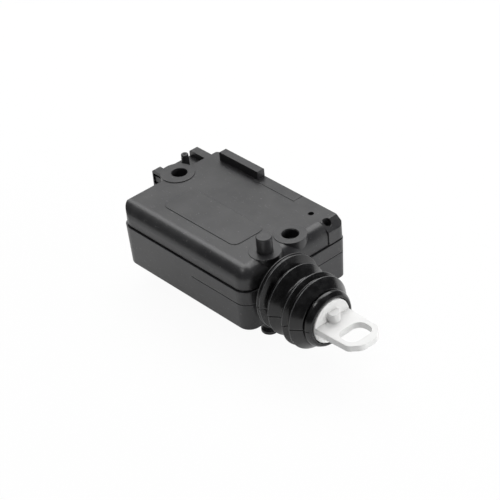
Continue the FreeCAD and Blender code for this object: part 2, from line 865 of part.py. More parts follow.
def gear_wire(module, teeth, shift, centre, first_angle, y):
    """Toothed outline in an upright plane; first_angle is where one tooth's middle points."""
    pitch = module * teeth / 2
    base = pitch * math.cos(pressure_angle)
    tip = pitch + module * (1 + shift - tip_shortening)
    root = pitch - module * (1.25 - shift)
    start = max(base, root)
    half = (math.pi / 2 + 2 * shift * math.tan(pressure_angle)) / teeth - tooth_play / 4 / pitch

    def flank(radius):
        return half + involute(pressure_angle) - involute(math.acos(min(base / radius, 1)))

    def point(radius, angle):
        return Vector(centre[0] + radius * math.cos(angle), y, centre[1] + radius * math.sin(angle))

    edges = []
    step = 2 * math.pi / teeth
    radii = (start, (start + tip) / 2, tip)
    for i in range(teeth):
        middle = first_angle + i * step
        up = [point(r, middle - flank(r)) for r in radii]
        down = [point(r, middle + flank(r)) for r in reversed(radii)]
        foot = point(root, middle - flank(start))
        heel = point(root, middle + flank(start))
        if start > root + 1e-4:
            edges.append(Part.LineSegment(foot, up[0]).toShape())
        edges.append(Part.Arc(up[0], up[1], up[2]).toShape())
        edges.append(Part.Arc(up[2], point(tip, middle), down[0]).toShape())
        edges.append(Part.Arc(down[0], down[1], down[2]).toShape())
        if start > root + 1e-4:
            edges.append(Part.LineSegment(down[2], heel).toShape())
        next_foot = point(root, middle + step - flank(start))
        edges.append(Part.Arc(heel, point(root, middle + step / 2), next_foot).toShape())
    return Part.Wire(edges)


def gear_solid(module, teeth, shift, centre, first_angle, layer):
    face = Part.Face(gear_wire(module, teeth, shift, centre, first_angle, layer[0]))
    return face.extrude(Vector(0, layer[1] - layer[0], 0))


def tooth_share(angle, first_angle, teeth):
    """How many teeth lie between a gear's first tooth and a direction."""
    return (angle - first_angle) * teeth / (2 * math.pi)


def mating_angle(centre, first_angle, teeth, other_centre, other_teeth):
    """First tooth angle of the other gear, so that the two are in mesh."""
    direction = math.atan2(other_centre[1] - centre[1], other_centre[0] - centre[0])
    share = 0.5 - tooth_share(direction, first_angle, teeth)
    return direction + math.pi - share * 2 * math.pi / other_teeth


def make_motor_pinion():
    centre = axle_place("motor")
    teeth = gear_solid(fine_module, pinion_teeth, tooth_shift, centre, 0, fine_layer)
    return teeth.cut(bar_y(shaft_radius, centre[0], centre[1], fine_layer[0] - 1, fine_layer[1] + 1))


def web_pocket(centre, inner, outer, low, high):
    ring = bar_y(outer, centre[0], centre[1], low, high)
    return ring.cut(bar_y(inner, centre[0], centre[1], low - 1, high + 1))


def make_first_gear():
    motor = axle_place("motor")
    centre = axle_place("first")
    angle = mating_angle(motor, 0, pinion_teeth, centre, first_wheel_teeth)
    wheel = gear_solid(fine_module, first_wheel_teeth, -tooth_shift, centre, angle, fine_layer)
    pinion_layer = (middle_layer[0], fine_layer[0])
    pinion = gear_solid(middle_module, pinion_teeth, tooth_shift, centre, 0, pinion_layer)
    hub = bar_y(hub_radius, centre[0], centre[1], rack_layer[0], middle_layer[0])
    pocket = web_pocket(centre, 3.4, 6.3, fine_layer[1] - 0.6, fine_layer[1] + 1)
    bore = bar_y(axle_radius + axle_clearance, centre[0], centre[1], rack_layer[0] - 1, fine_layer[1] + 1)
    return wheel.fuse([pinion, hub]).cut([bore, pocket]).removeSplitter()


def make_second_gear():
    first = axle_place("first")
    centre = axle_place("second")
    angle = mating_angle(first, 0, pinion_teeth, centre, second_wheel_teeth)
    wheel = gear_solid(middle_module, second_wheel_teeth, -tooth_shift, centre, angle, middle_layer)
    rack_pinion = gear_solid(rack_module, pinion_teeth, tooth_shift, centre, 0, (rack_layer[0], middle_layer[0]))
    hub = bar_y(hub_radius, centre[0], centre[1], middle_layer[1], fine_layer[1])
    pocket = web_pocket(centre, 3.2, 6.2, middle_layer[1] - 0.6, middle_layer[1] + 1)
    bore = bar_y(axle_radius + axle_clearance, centre[0], centre[1], rack_layer[0] - 1, fine_layer[1] + 1)
    return wheel.fuse([rack_pinion, hub]).cut([bore, pocket]).removeSplitter()


def make_gear_axles():
    axles = []
    for name in ("first", "second"):
        x, z = axle_place(name)
        ends = axle_ends(name)
        axles.append(bar_y(axle_radius, x, z, ends[0], ends[1]))
    return axles


# Rack

def rack_levels():
    """Heights of the rack's tooth tips, tooth middle, roots and bottom."""
    pitch = rack_module * pinion_teeth / 2
    middle = under_z + second_height - pitch - tooth_shift * rack_module
    root = middle - 1.25 * rack_module
    return {"tip": middle + rack_module * (1 - tip_shortening), "middle": middle, "root": root,
            "bottom": root - rack_back}


def make_drive_rack():
    levels = rack_levels()
    centre = axle_place("second")
    tail = rack_tail_x
    rod_end = front_x - rod_end_back
    block_rear = rod_end - arm_block
    bed = box((tail, rod_end), rack_layer, (levels["bottom"], levels["root"]))
    pitch = math.pi * rack_module
    share = tooth_share(-math.pi / 2, 0, pinion_teeth)
    first = centre[0] + (0.5 - share % 1) * pitch
    teeth = []
    slope = math.tan(pressure_angle)
    half = pitch / 4 - tooth_play / 4
    lowest = math.ceil((tail + half * 2 - first) / pitch)
    highest = math.floor((block_rear - pitch * 0.8 - first) / pitch)
    for i in range(lowest, highest + 1):
        x = first + i * pitch
        wide = half + slope * (levels["middle"] - levels["root"])
        slim = half - slope * (levels["tip"] - levels["middle"])
        corners = [
            (x - wide, levels["root"] - 0.2),
            (x + wide, levels["root"] - 0.2),
            (x + wide, levels["root"]),
            (x + slim, levels["tip"]),
            (x - slim, levels["tip"]),
            (x - wide, levels["root"]),
        ]
        teeth.append(slab_y(corners, rack_layer[0], rack_layer[1]))
    block = box((block_rear, rod_end), rack_layer, (levels["bottom"], rod_radius))
    return bed.fuse(teeth + [block]).removeSplitter()


def make_front_buffer():
    x = front_buffer_x
    ring = bar_x(buffer_radius, plunger_y, 0, x, x + buffer_thickness)
    return ring.cut(bar_x(rod_radius + layer_gap, plunger_y, 0, x - 1, x + buffer_thickness + 1))


def make_rear_buffer():
    levels = rack_levels()
    y_range = (rack_layer[0] + 0.5, rack_layer[1] - 0.5)
    return box((rear_buffer_x - buffer_thickness, rear_buffer_x), y_range, (levels["bottom"], levels["tip"] - 0.3))


# Motor

def motor_plan(shrink):
    """Motor's cross-section: round sides, flat top and bottom."""
    x, z = axle_place("motor")
    radius = motor_width / 2 - shrink
    half = motor_depth / 2 - shrink
    reach = math.sqrt(radius ** 2 - half ** 2)
    return x, z, radius, half, reach


def motor_block(shrink, low, high):
    x, z, radius, half, reach = motor_plan(shrink)
    side = Part.Arc(Vector(x + reach, low, z - half), Vector(x + radius, low, z), Vector(x + reach, low, z + half))
    other = Part.Arc(Vector(x - reach, low, z + half), Vector(x - radius, low, z), Vector(x - reach, low, z - half))
    top = Part.LineSegment(Vector(x + reach, low, z + half), Vector(x - reach, low, z + half))
    bottom = Part.LineSegment(Vector(x - reach, low, z - half), Vector(x + reach, low, z - half))
    wire = Part.Wire([side.toShape(), top.toShape(), other.toShape(), bottom.toShape()])
    return Part.Face(wire).extrude(Vector(0, high - low, 0))


def make_motor_can():
    x, z = axle_place("motor")
    shell = motor_block(0, motor_face, cap_y)
    hollow = motor_block(motor_sheet, motor_face + motor_sheet, cap_y + 1)
    boss = bar_y(motor_boss_radius, x, z, motor_face - motor_boss_length, motor_face + bush_length)
    seat = bar_y(bush_radius, x, z, motor_face - motor_boss_length + 0.4, motor_face + bush_length + 1)
    hole = bar_y(shaft_radius + 0.4, x, z, motor_face - 3, motor_face + 3)
    return shell.cut(hollow).fuse(boss).cut([seat, hole]).removeSplitter()


def make_motor_bushes():
    x, z = axle_place("motor")
    bushes = []
    for start in (motor_face - motor_boss_length + 0.4, cap_end_y - 0.6 - bush_length):
        ring = bar_y(bush_radius, x, z, start, start + bush_length)
        bushes.append(ring.cut(bar_y(shaft_radius + 0.03, x, z, start - 1, start + bush_length + 1)))
    return bushes


def make_motor_end_cap():
    x, z = axle_place("motor")
    cap = motor_block(0, cap_y, cap_end_y)
    lip = motor_block(motor_sheet + 0.05, cap_y - 1.6, cap_y)
    lip = lip.cut(motor_block(motor_sheet + 1.0, cap_y - 3, cap_y + 0.1))
    seat = bar_y(bush_radius, x, z, cap_y - 1, cap_end_y - 0.6)
    slots = [box(t[0], t[1], t[2]) for t in tab_boxes()]
    return cap.fuse(lip).cut([seat] + slots).removeSplitter()


def make_motor_shaft():
    x, z = axle_place("motor")
    return bar_y(shaft_radius, x, z, fine_layer[0] - 0.2, cap_end_y - 0.8)


def make_motor_armature():
    """Three-pole core: round pole faces on a narrow stem each."""
    x, z = axle_place("motor")
    low = armature_y
    high = armature_y + armature_length
    core = bar_y(core_radius, x, z, low, high)
    poles = []
    inside = bar_y(armature_radius - shoe_thickness, x, z, low - 1, high + 1)
    rim = bar_y(armature_radius, x, z, low, high).cut(inside)
    reach = armature_radius + 1
    spread = reach * math.tan(shoe_half_angle)
    for i in range(3):
        stem = box((x - stem_half, x + stem_half), (low, high), (z, z + armature_radius - 0.5))
        wedge = slab_y([(x, z), (x + spread, z + reach), (x - spread, z + reach)], low, high)
        shoe = rim.common(wedge)
        for piece in (stem, shoe):
            piece.rotate(Vector(x, 0, z), Vector(0, 1, 0), 120 * i)
            poles.append(piece)
    bore = bar_y(shaft_radius, x, z, low - 1, high + 1)
    return core.fuse(poles).cut(bore).removeSplitter()


def make_motor_windings():
    x, z = axle_place("motor")
    coils = []
    ends = (armature_y - coil_overhang, armature_y + armature_length + coil_overhang)
    levels = (z + core_radius + 0.1, z + armature_radius - shoe_thickness - 0.6)
    for i in range(3):
        coil = box((x - coil_half, x + coil_half), ends, levels)
        inside = stem_half + 0.02
        core = (armature_y - 0.02, armature_y + armature_length + 0.02)
        coil = coil.cut(box((x - inside, x + inside), core, (levels[0] - 1, levels[1] + 1)))
        coil.rotate(Vector(x, 0, z), Vector(0, 1, 0), 120 * i)
        coils.append(coil)
    return coils


def make_motor_commutator():
    x, z = axle_place("motor")
    stop = commutator_y + commutator_length
    drum = bar_y(commutator_radius, x, z, commutator_y, stop)
    cuts = [bar_y(shaft_radius, x, z, commutator_y - 1, stop + 1)]
    for i in range(3):
        slit = box((x - 0.15, x + 0.15), (commutator_y - 1, stop - 0.6), (z + commutator_radius - 0.5, z + 3))
        slit.rotate(Vector(x, 0, z), Vector(0, 1, 0), 120 * i + 60)
        cuts.append(slit)
    return drum.cut(cuts)


def make_motor_magnets():
    x, z = axle_place("motor")
    low = armature_y - magnet_overhang
    high = armature_y + armature_length + magnet_overhang
    inner = armature_radius + air_gap
    outer = motor_width / 2 - motor_sheet - magnet_fit
    reach = outer + 1
    spread = reach * math.tan(magnet_half_angle)
    ring = bar_y(outer, x, z, low, high).cut(bar_y(inner, x, z, low - 1, high + 1))
    magnets = []
    for side in (1, -1):
        wedge = slab_y([(x, z), (x + side * reach, z + spread), (x + side * reach, z - spread)], low, high)
        magnets.append(ring.common(wedge))
    return magnets


def make_motor_brushes():
    x, z = axle_place("motor")
    brushes = []
    for side in (1, -1):
        edge = z + side * (commutator_radius + 0.15)
        brushes.append(box((x - 4.5, x + 4.5), (commutator_y + 0.6, commutator_y + 1.8), (edge, edge + side * 0.35)))
    return brushes


def tab_boxes():
    """Motor tabs: two brass strips that leave the end cap towards the rear."""
    x, z = axle_place("motor")
    x_in = x - motor_width / 2 + 1.5
    x_out = x - motor_width / 2 - 1.6
    boxes = []
    for level in (z - 3.4, z + 1.4):
        boxes.append(((x_out, x_in + 1.0), (cap_y + 1.0, cap_y + 1.5), (level, level + 2.0)))
    return boxes


def make_motor_tabs():
    return [box(t[0], t[1], t[2]) for t in tab_boxes()]


# Terminals: blade in the socket, strip along the wall to the motor's tab

def terminal_path(i):
    """Boxes that make up one terminal: blade, riser and strip to the motor tab."""
    tab = tab_boxes()[1 - i]
    blade_y = (socket_near_y + socket_far_y) / 2 + (i - 0.5) * blade_pitch
    end_x = socket_end()
    middle_z = (socket_low_z + socket_high_z) / 2
    turn_x = end_x + socket_wall + riser_fit + strip_thickness + (strip_thickness + strip_gap) * i
    low = blade_y - blade_thickness / 2
    half = blade_height / 2
    tab_low, tab_high = tab[2]
    tab_y = tab[1][0] - blade_thickness
    blade = box((end_x - blade_reach, turn_x), (low, low + blade_thickness), (middle_z - half, middle_z + half))
    rise_low = min(middle_z - half, tab_low)
    rise_high = max(middle_z + half, tab_high)
    turn = (turn_x - strip_thickness, turn_x)
    riser = box(turn, (low, low + blade_thickness), (rise_low, rise_high))
    across = box(turn, (low, tab_y + blade_thickness), (tab_low, tab_high))
    strip = box((turn[0], tab[0][0] + 1.3), (tab_y, tab_y + blade_thickness), (tab_low, tab_high))
    return [blade, riser, across, strip]


def make_terminals():
    solids = []
    for i in (0, 1):
        parts = terminal_path(i)
        solids.append(parts[0].fuse(parts[1:]).removeSplitter())
    return solids


def terminal_slots():
    """Clearance through the socket's end wall for the two blades."""
    cuts = []
    for i in (0, 1):
        blade = terminal_path(i)[0].BoundBox
        cuts.append(box((blade.XMin, blade.XMax), (blade.YMin, blade.YMax), (blade.ZMin, blade.ZMax)))
    return cuts


terminals = make_terminals()
axles = make_gear_axles()
bushes = make_motor_bushes()
nodes = {
    "lower_shell": make_lower_shell(),
    "upper_shell": make_upper_shell(),
    "shell_seal": make_shell_seal(),
    "bellows": make_bellows(),
    "plunger": make_plunger(),
    "drive_rack": make_drive_rack(),
    "front_buffer": make_front_buffer(),
    "rear_buffer": make_rear_buffer(),
    "first_gear": make_first_gear(),
    "second_gear": make_second_gear(),
    "first_axle": axles[0],
    "second_axle": axles[1],
    "motor_can": make_motor_can(),
    "motor_end_cap": make_motor_end_cap(),
    "motor_drive_bush": bushes[0],
    "motor_cap_bush": bushes[1],
    "motor_shaft": make_motor_shaft(),
    "motor_pinion": make_motor_pinion(),
    "motor_armature": make_motor_armature(),
    "motor_windings": group(make_motor_windings()),
    "motor_commutator": make_motor_commutator(),
    "motor_magnets": group(make_motor_magnets()),
    "motor_brushes": group(make_motor_brushes()),
    "motor_tabs": group(make_motor_tabs()),
    "near_terminal": terminals[0],
    "far_terminal": terminals[1],
}

os.makedirs("parts", exist_ok=True)
for name, shape in nodes.items():
    solids = shape.Solids
    print(name, len(solids), "solids, valid" if shape.isValid() else "solids, NOT VALID", round(shape.Volume, 1))
    shape.exportStep("parts/" + name + ".step")
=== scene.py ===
import math

import bmesh
import bpy
from mathutils import Matrix, Vector


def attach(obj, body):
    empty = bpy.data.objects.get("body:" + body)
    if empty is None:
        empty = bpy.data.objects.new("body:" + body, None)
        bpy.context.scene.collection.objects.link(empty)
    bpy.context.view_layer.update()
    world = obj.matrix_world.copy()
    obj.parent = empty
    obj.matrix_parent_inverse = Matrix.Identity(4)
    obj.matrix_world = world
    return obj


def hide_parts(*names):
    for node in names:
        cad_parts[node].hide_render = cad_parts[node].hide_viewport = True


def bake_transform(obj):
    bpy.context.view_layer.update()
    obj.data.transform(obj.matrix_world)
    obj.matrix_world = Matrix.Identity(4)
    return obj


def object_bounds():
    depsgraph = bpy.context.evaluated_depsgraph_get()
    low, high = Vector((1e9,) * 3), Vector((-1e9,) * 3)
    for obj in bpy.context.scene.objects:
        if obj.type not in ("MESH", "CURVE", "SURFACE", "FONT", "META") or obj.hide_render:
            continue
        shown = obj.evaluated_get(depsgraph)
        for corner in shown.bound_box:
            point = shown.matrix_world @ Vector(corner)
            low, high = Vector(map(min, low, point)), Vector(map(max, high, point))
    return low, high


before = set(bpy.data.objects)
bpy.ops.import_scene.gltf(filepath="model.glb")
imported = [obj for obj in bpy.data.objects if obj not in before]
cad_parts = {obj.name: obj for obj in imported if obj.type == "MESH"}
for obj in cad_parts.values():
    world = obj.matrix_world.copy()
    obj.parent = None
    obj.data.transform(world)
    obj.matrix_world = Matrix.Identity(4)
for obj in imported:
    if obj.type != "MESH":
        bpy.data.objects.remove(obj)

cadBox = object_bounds()
mm = 0.001
print("frame loaded:", len(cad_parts), "nodes")


# Small helpers

def hexColour(code):
    # sRGB hex to the linear colour that shaders take
    values = [int(code[i:i + 2], 16) / 255 for i in (1, 3, 5)]
    linear = [v / 12.92 if v <= 0.04045 else ((v + 0.055) / 1.055) ** 2.4 for v in values]
    return (*linear, 1.0)


def addNode(tree, kind, settings=None, links=None):
    # settings: node properties, or input names with a value; links: input name to an output socket
    node = tree.nodes.new(kind)
    for key, value in (settings or {}).items():
        if isinstance(key, str) and hasattr(node, key) and key not in node.inputs:
            setattr(node, key, value)
        else:
            node.inputs[key].default_value = value
    for key, socket in (links or {}).items():
        tree.links.new(socket, node.inputs[key])
    return node


def newMaterial(name):
    material = bpy.data.materials.new(name)
    material.use_nodes = True
    tree = material.node_tree
    tree.nodes.clear()
    output = addNode(tree, "ShaderNodeOutputMaterial")
    place = addNode(tree, "ShaderNodeTexCoord")
    return material, tree, output, place.outputs["Object"]


def perMm(size):
    # scale of a noise whose spots are about size mm across, for coordinates in metres
    return 1.0 / (size * mm)


# Materials

casing = {
    "topColour": "#343435",
    "lowColour": "#28282a",
    "dustColour": "#6c6c6c",
    "roughness": 0.33,
    "grain": 0.35,                  # mm; spark-eroded grain is about 0.1, drawn coarser so that it shows
    "grainDepth": 0.012,
    "blotch": 9.0,                  # flow marks
    "speck": 0.9,                   # dust specks, the share of the noise that they take, their strength
    "speckRange": (0.70, 0.76),
    "speckStrength": 0.45,
    "scuff": 0.7,                   # fine scuffs: width, stretch, turn in radians
    "scuffStretch": 0.16,
    "scuffTurn": 0.5,
    "scuffRange": (0.69, 0.76),
    "scuffStrength": 0.35,
    "edge": 0.22,                   # radius of the moulded edges
}


def makeCasingMaterial():
    # glass-filled nylon, injection-moulded in a spark-eroded tool: near black, with a grey sheen
    # that comes from its fine grain, a little blotchy, with pale specks and scuffs and rounded edges
    material, tree, output, place = newMaterial("mouldedNylonCasing")
    blotch = addNode(
        tree, "ShaderNodeTexNoise", {"Scale": perMm(casing["blotch"]), "Detail": 4.0}, {"Vector": place}
    )
    grain = addNode(
        tree, "ShaderNodeTexNoise", {"Scale": perMm(casing["grain"]), "Detail": 2.0}, {"Vector": place}
    )
    blend = addNode(
        tree, "ShaderNodeMapRange", {"From Min": 0.35, "From Max": 0.65}, {"Value": blotch.outputs["Fac"]}
    )
    colour = addNode(
        tree, "ShaderNodeMix",
        {"data_type": "RGBA", "A": hexColour(casing["lowColour"]), "B": hexColour(casing["topColour"])},
        {"Factor": blend.outputs["Result"]},
    )
    specks = addNode(
        tree, "ShaderNodeTexNoise", {"Scale": perMm(casing["speck"]), "Detail": 1.0}, {"Vector": place}
    )
    turned = addNode(
        tree, "ShaderNodeMapping",
        {"Rotation": (0.0, 0.0, casing["scuffTurn"]), "Scale": (casing["scuffStretch"], 1.0, 1.0)},
        {"Vector": place},
    )
    scuffs = addNode(
        tree, "ShaderNodeTexNoise", {"Scale": perMm(casing["scuff"]), "Detail": 2.0},
        {"Vector": turned.outputs["Vector"]},
    )
    least, most = casing["speckRange"]
    dots = addNode(
        tree, "ShaderNodeMapRange", {"From Min": least, "From Max": most, "To Max": casing["speckStrength"]},
        {"Value": specks.outputs["Fac"]},
    )
    least, most = casing["scuffRange"]
    lines = addNode(
        tree, "ShaderNodeMapRange", {"From Min": least, "From Max": most, "To Max": casing["scuffStrength"]},
        {"Value": scuffs.outputs["Fac"]},
    )
    marks = addNode(
        tree, "ShaderNodeMath", {"operation": "MAXIMUM"},
        {0: dots.outputs["Result"], 1: lines.outputs["Result"]},
    )
    marked = addNode(
        tree, "ShaderNodeMix", {"data_type": "RGBA", "B": hexColour(casing["dustColour"])},
        {"Factor": marks.outputs["Value"], "A": colour.outputs["Result"]},
    )
    rough = addNode(
        tree, "ShaderNodeMapRange",
        {"To Min": casing["roughness"] - 0.05, "To Max": casing["roughness"] + 0.07},
        {"Value": blotch.outputs["Fac"]},
    )
    rounded = addNode(tree, "ShaderNodeBevel", {"samples": 6, "Radius": casing["edge"] * mm})
    bump = addNode(
        tree, "ShaderNodeBump", {"Strength": 0.35, "Distance": casing["grainDepth"] * mm},
        {"Height": grain.outputs["Fac"], "Normal": rounded.outputs["Normal"]},
    )
    shader = addNode(
        tree, "ShaderNodeBsdfPrincipled", {"IOR": 1.5},
        {
            "Base Color": marked.outputs["Result"], "Roughness": rough.outputs["Result"],
            "Normal": bump.outputs["Normal"],
        },
    )
    tree.links.new(shader.outputs["BSDF"], output.inputs["Surface"])
    return material


def makePlainMaterial(name, colour, roughness, metallic=0.0, grain=0.5, depth=0.006, blotch=4.0, tone=0.06):
    # shared build of the small parts' finishes: two close tones and a fine grain
    material, tree, output, place = newMaterial(name)
    spots = addNode(tree, "ShaderNodeTexNoise", {"Scale": perMm(blotch), "Detail": 3.0}, {"Vector": place})
    fine = addNode(tree, "ShaderNodeTexNoise", {"Scale": perMm(grain), "Detail": 2.0}, {"Vector": place})
    base = hexColour(colour)
    darker = (*[v * (1 - tone) for v in base[:3]], 1.0)
    mixed = addNode(
        tree, "ShaderNodeMix", {"data_type": "RGBA", "A": darker, "B": base}, {"Factor": spots.outputs["Fac"]}
    )
    rough = addNode(
        tree, "ShaderNodeMapRange", {"To Min": roughness - 0.05, "To Max": roughness + 0.05},
        {"Value": spots.outputs["Fac"]},
    )
    bump = addNode(
        tree, "ShaderNodeBump", {"Strength": 0.3, "Distance": depth * mm}, {"Height": fine.outputs["Fac"]}
    )
    settings = {"Metallic": metallic}
    if not metallic:
        settings["IOR"] = 1.5
    shader = addNode(
        tree, "ShaderNodeBsdfPrincipled", settings,
        {
            "Base Color": mixed.outputs["Result"], "Roughness": rough.outputs["Result"],
            "Normal": bump.outputs["Normal"],
        },
    )
    tree.links.new(shader.outputs["BSDF"], output.inputs["Surface"])
    return material


bellows = {
    # outside and inside of the wall: mm from the casing's front face, radius, rounding, and how far
    # the ring sits above the plunger's axis (the first fold hangs up against the casing)
    "outside": [
        (0.3, 9.1, 0.0, 0.0), (0.3, 10.7, 0.4, 0.0), (1.6, 11.3, 0.6, 0.9), (3.6, 14.2, 0.1, 2.0),
        (3.85, 14.2, 0.1, 2.0), (4.5, 13.75, 0.25, 2.0), (5.2, 14.35, 0.1, 2.0), (5.5, 14.3, 0.1, 2.0),
        (7.1, 11.3, 0.9, 1.0), (8.85, 13.8, 0.1, 0.5), (9.15, 13.8, 0.1, 0.5),
        (12.6, 10.3, 1.2, 0.0), (16.05, 14.1, 0.1, 0.0), (16.35, 14.05, 0.1, 0.0), (17.7, 12.3, 0.5, 0.0),
        (19.5, 13.9, 0.1, 0.0), (19.8, 13.8, 0.1, 0.0),
        (23.2, 10.95, 0.3, 0.0), (23.45, 9.95, 0.15, 0.0), (23.9, 9.95, 0.15, 0.0), (24.2, 10.85, 0.3, 0.0),
        (25.2, 10.6, 0.4, 0.0), (26.6, 9.6, 0.5, 0.0), (26.6, 8.75, 0.25, 0.0),
    ],
    "inside": [
        (24.15, 8.75, 0.0, 0.0), (24.15, 7.4, 0.1, 0.0), (22.35, 7.4, 0.1, 0.0), (22.3, 9.0, 0.3, 0.0),
        (19.5, 12.4, 0.4, 0.0), (17.9, 11.6, 0.4, 0.0), (16.2, 12.8, 0.4, 0.0), (12.6, 9.5, 0.5, 0.0),
        (9.0, 12.5, 0.4, 0.5), (7.1, 10.4, 0.4, 1.0), (5.3, 13.0, 0.4, 2.0), (3.9, 12.9, 0.4, 2.0),
        (2.2, 10.5, 0.3, 0.5), (5.6, 10.3, 0.2, 0.0), (5.6, 9.85, 0.2, 0.0), (3.9, 9.85, 0.0, 0.0),
        (3.2, 9.12, 0.0, 0.0),
    ],
    "crests": (3.6, 5.2, 8.85, 16.05, 19.5),    # where each fold's pale crest line begins: a painted highlight, and rubbed wear
    "crestWidth": 0.3,
    "crestEdge": 0.06,
    "crestFrom": 13.4,                          # the pale crest lines lie outside this radius
    "face": 7.0,
    "axisY": -13.1,
    "around": 160,
    "rounding": 5,                              # short runs in each rounded corner
    "seamHeight": 0.5,                          # parting line of the mould halves, above the axis
    "seamRadius": 13,
    "seamFrom": 10.2,                           # it shows outside this radius
    "seamStep": 0.16,                           # the lower half is this much smaller
    "seamGroove": 0.4,
    "seamTurns": (0.034, 0.030, 0.021, 0.005),  # radians: cleared, step, and both edges of the groove
    "seamWave": 0.6,
    "threadHalf": 0.22,
    "blendFrom": 6.0,                           # along X: still on the casing, then fully on the plunger
    "blendTo": 31.0,
    "upperColour": "#0e0e0f",
    # the lower half's colour is a painted reflection of the white floor below
    "floorReflectionLowerColour": "#1b1b1c",
    "dustColour": "#363637",
    "threadColour": "#0c0c0c",
    "roughness": 0.18,
}


def makeBellowsMaterial():
    # moulded black rubber: satin, a little oily, so its folds take sharp pale lines of light; below the seam
    # its colour is painted greyer, a painted reflection of the white floor, and the parting line shows as a
    # dark thread
    material, tree, output, place = newMaterial("mouldedRubberBellows")
    parts = addNode(tree, "ShaderNodeSeparateXYZ", {}, {"Vector": place})
    wobble = addNode(tree, "ShaderNodeTexNoise", {"Scale": perMm(5.0), "Detail": 3.0}, {"Vector": place})
    height = addNode(
        tree, "ShaderNodeMath", {"operation": "MULTIPLY_ADD", 1: bellows["seamWave"] * mm},
        {0: wobble.outputs["Fac"], 2: parts.outputs["Z"]},
    )
    seam = (bellows["seamHeight"] + bellows["seamWave"] / 2) * mm
    # painted reflection: below the seam the rubber is drawn greyer, as the white floor would light it
    lower = addNode(
        tree, "ShaderNodeMapRange",
        {"From Min": seam, "From Max": seam - 0.2 * mm, "To Min": 0.0, "To Max": 1.0},
        {"Value": height.outputs["Value"]},
    )
    thread = addNode(
        tree, "ShaderNodeMath", {"operation": "COMPARE", 1: seam, 2: bellows["threadHalf"] * mm},
        {0: height.outputs["Value"]},
    )
    patches = addNode(tree, "ShaderNodeTexNoise", {"Scale": perMm(3.0), "Detail": 4.0}, {"Vector": place})
    fine = addNode(tree, "ShaderNodeTexNoise", {"Scale": perMm(0.5), "Detail": 2.0}, {"Vector": place})
    # the painted floor reflection: the lower half takes the greyer colour
    halves = addNode(
        tree, "ShaderNodeMix",
        {"data_type": "RGBA", "A": hexColour(bellows["upperColour"]), "B": hexColour(bellows["floorReflectionLowerColour"])},
        {"Factor": lower.outputs["Result"]},
    )
    dust = addNode(
        tree, "ShaderNodeMapRange", {"From Min": 0.4, "From Max": 0.75, "To Min": 0.0, "To Max": 0.35},
        {"Value": patches.outputs["Fac"]},
    )
    dusted = addNode(
        tree, "ShaderNodeMix", {"data_type": "RGBA", "B": hexColour(bellows["dustColour"])},
        {"Factor": dust.outputs["Result"], "A": halves.outputs["Result"]},
    )
    lined = addNode(
        tree, "ShaderNodeMix", {"data_type": "RGBA", "B": hexColour(bellows["threadColour"])},
        {"Factor": thread.outputs["Value"], "A": dusted.outputs["Result"]},
    )
    rough = addNode(
        tree, "ShaderNodeMapRange",
        {"To Min": bellows["roughness"] - 0.04, "To Max": bellows["roughness"] + 0.12},
        {"Value": patches.outputs["Fac"]},
    )
    bump = addNode(
        tree, "ShaderNodeBump", {"Strength": 0.25, "Distance": 0.01 * mm}, {"Height": fine.outputs["Fac"]}
    )
    shader = addNode(
        tree, "ShaderNodeBsdfPrincipled", {"IOR": 1.5},
        {
            "Base Color": lined.outputs["Result"], "Roughness": rough.outputs["Result"],
            "Normal": bump.outputs["Normal"],
        },
    )
    tree.links.new(shader.outputs["BSDF"], output.inputs["Surface"])
    return material


# what each gives the eye stands at its line's end
casingNylon = makeCasingMaterial()
bellowsRubber = makeBellowsMaterial()
crestHighlightAndWearRubber = makePlainMaterial("paintedCrestHighlightAndWear", "#525253", 0.3, blotch=1.6, tone=0.5)     # pale: painted crest highlight, and rubbed wear
sealRubber = makePlainMaterial("mouldedRubberSeal", "#202020", 0.6)                             # dull black
acetal = makePlainMaterial("mouldedAcetalWhite", "#ebebea", 0.36, depth=0.004, tone=0.02)       # milky
gearAcetal = makePlainMaterial("mouldedAcetalNatural", "#dcd8c8", 0.4, tone=0.04)               # waxy cream
groundSteel = makePlainMaterial("groundSteel", "#b8b8ba", 0.25, metallic=1.0)                   # bright
zincSteel = makePlainMaterial("zincPlatedSheetSteel", "#b4b5b8", 0.35, metallic=1.0)            # cool, satin
coreSteel = makePlainMaterial("stackedSheetSteel", "#6a6a6c", 0.5, metallic=1.0)                # dark, matt
ferrite = makePlainMaterial("sinteredFerrite", "#2c2c2e", 0.7)                                  # dry charcoal
bronze = makePlainMaterial("sinteredBronze", "#a87c48", 0.5, metallic=1.0)                      # brown, oily
brass = makePlainMaterial("stampedBrass", "#c8a860", 0.3, metallic=1.0)                         # pale gold
copper = makePlainMaterial("enamelledCopperWire", "#b8683c", 0.35, metallic=1.0)                # deep orange
tin = makePlainMaterial("tinnedBrass", "#c4c4c0", 0.28, metallic=1.0)                           # soft silver
capNylon = makePlainMaterial("mouldedNylonCap", "#2a2a2b", 0.5)                                 # plain black
nodeMaterials = {
    "lower_shell": casingNylon, "upper_shell": casingNylon, "bellows": bellowsRubber,
    "shell_seal": sealRubber, "front_buffer": sealRubber, "rear_buffer": sealRubber,
    "plunger": acetal, "drive_rack": gearAcetal, "first_gear": gearAcetal, "second_gear": gearAcetal,
    "first_axle": groundSteel, "second_axle": groundSteel, "motor_shaft": groundSteel, "motor_can": zincSteel,
    "motor_end_cap": capNylon, "motor_drive_bush": bronze, "motor_cap_bush": bronze, "motor_magnets": ferrite,
    "motor_armature": coreSteel, "motor_windings": copper, "motor_commutator": copper, "motor_brushes": brass,
    "motor_pinion": brass, "motor_tabs": brass, "near_terminal": tin, "far_terminal": tin,
}
for name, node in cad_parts.items():
    if not node.material_slots:
        node.data.materials.append(nodeMaterials[name])
    for slot in node.material_slots:
        slot.material = nodeMaterials[name]
print("materials assigned")


# Bellows: one turned wall of rubber, pushed on to the spigot and gripped in the plunger's groove

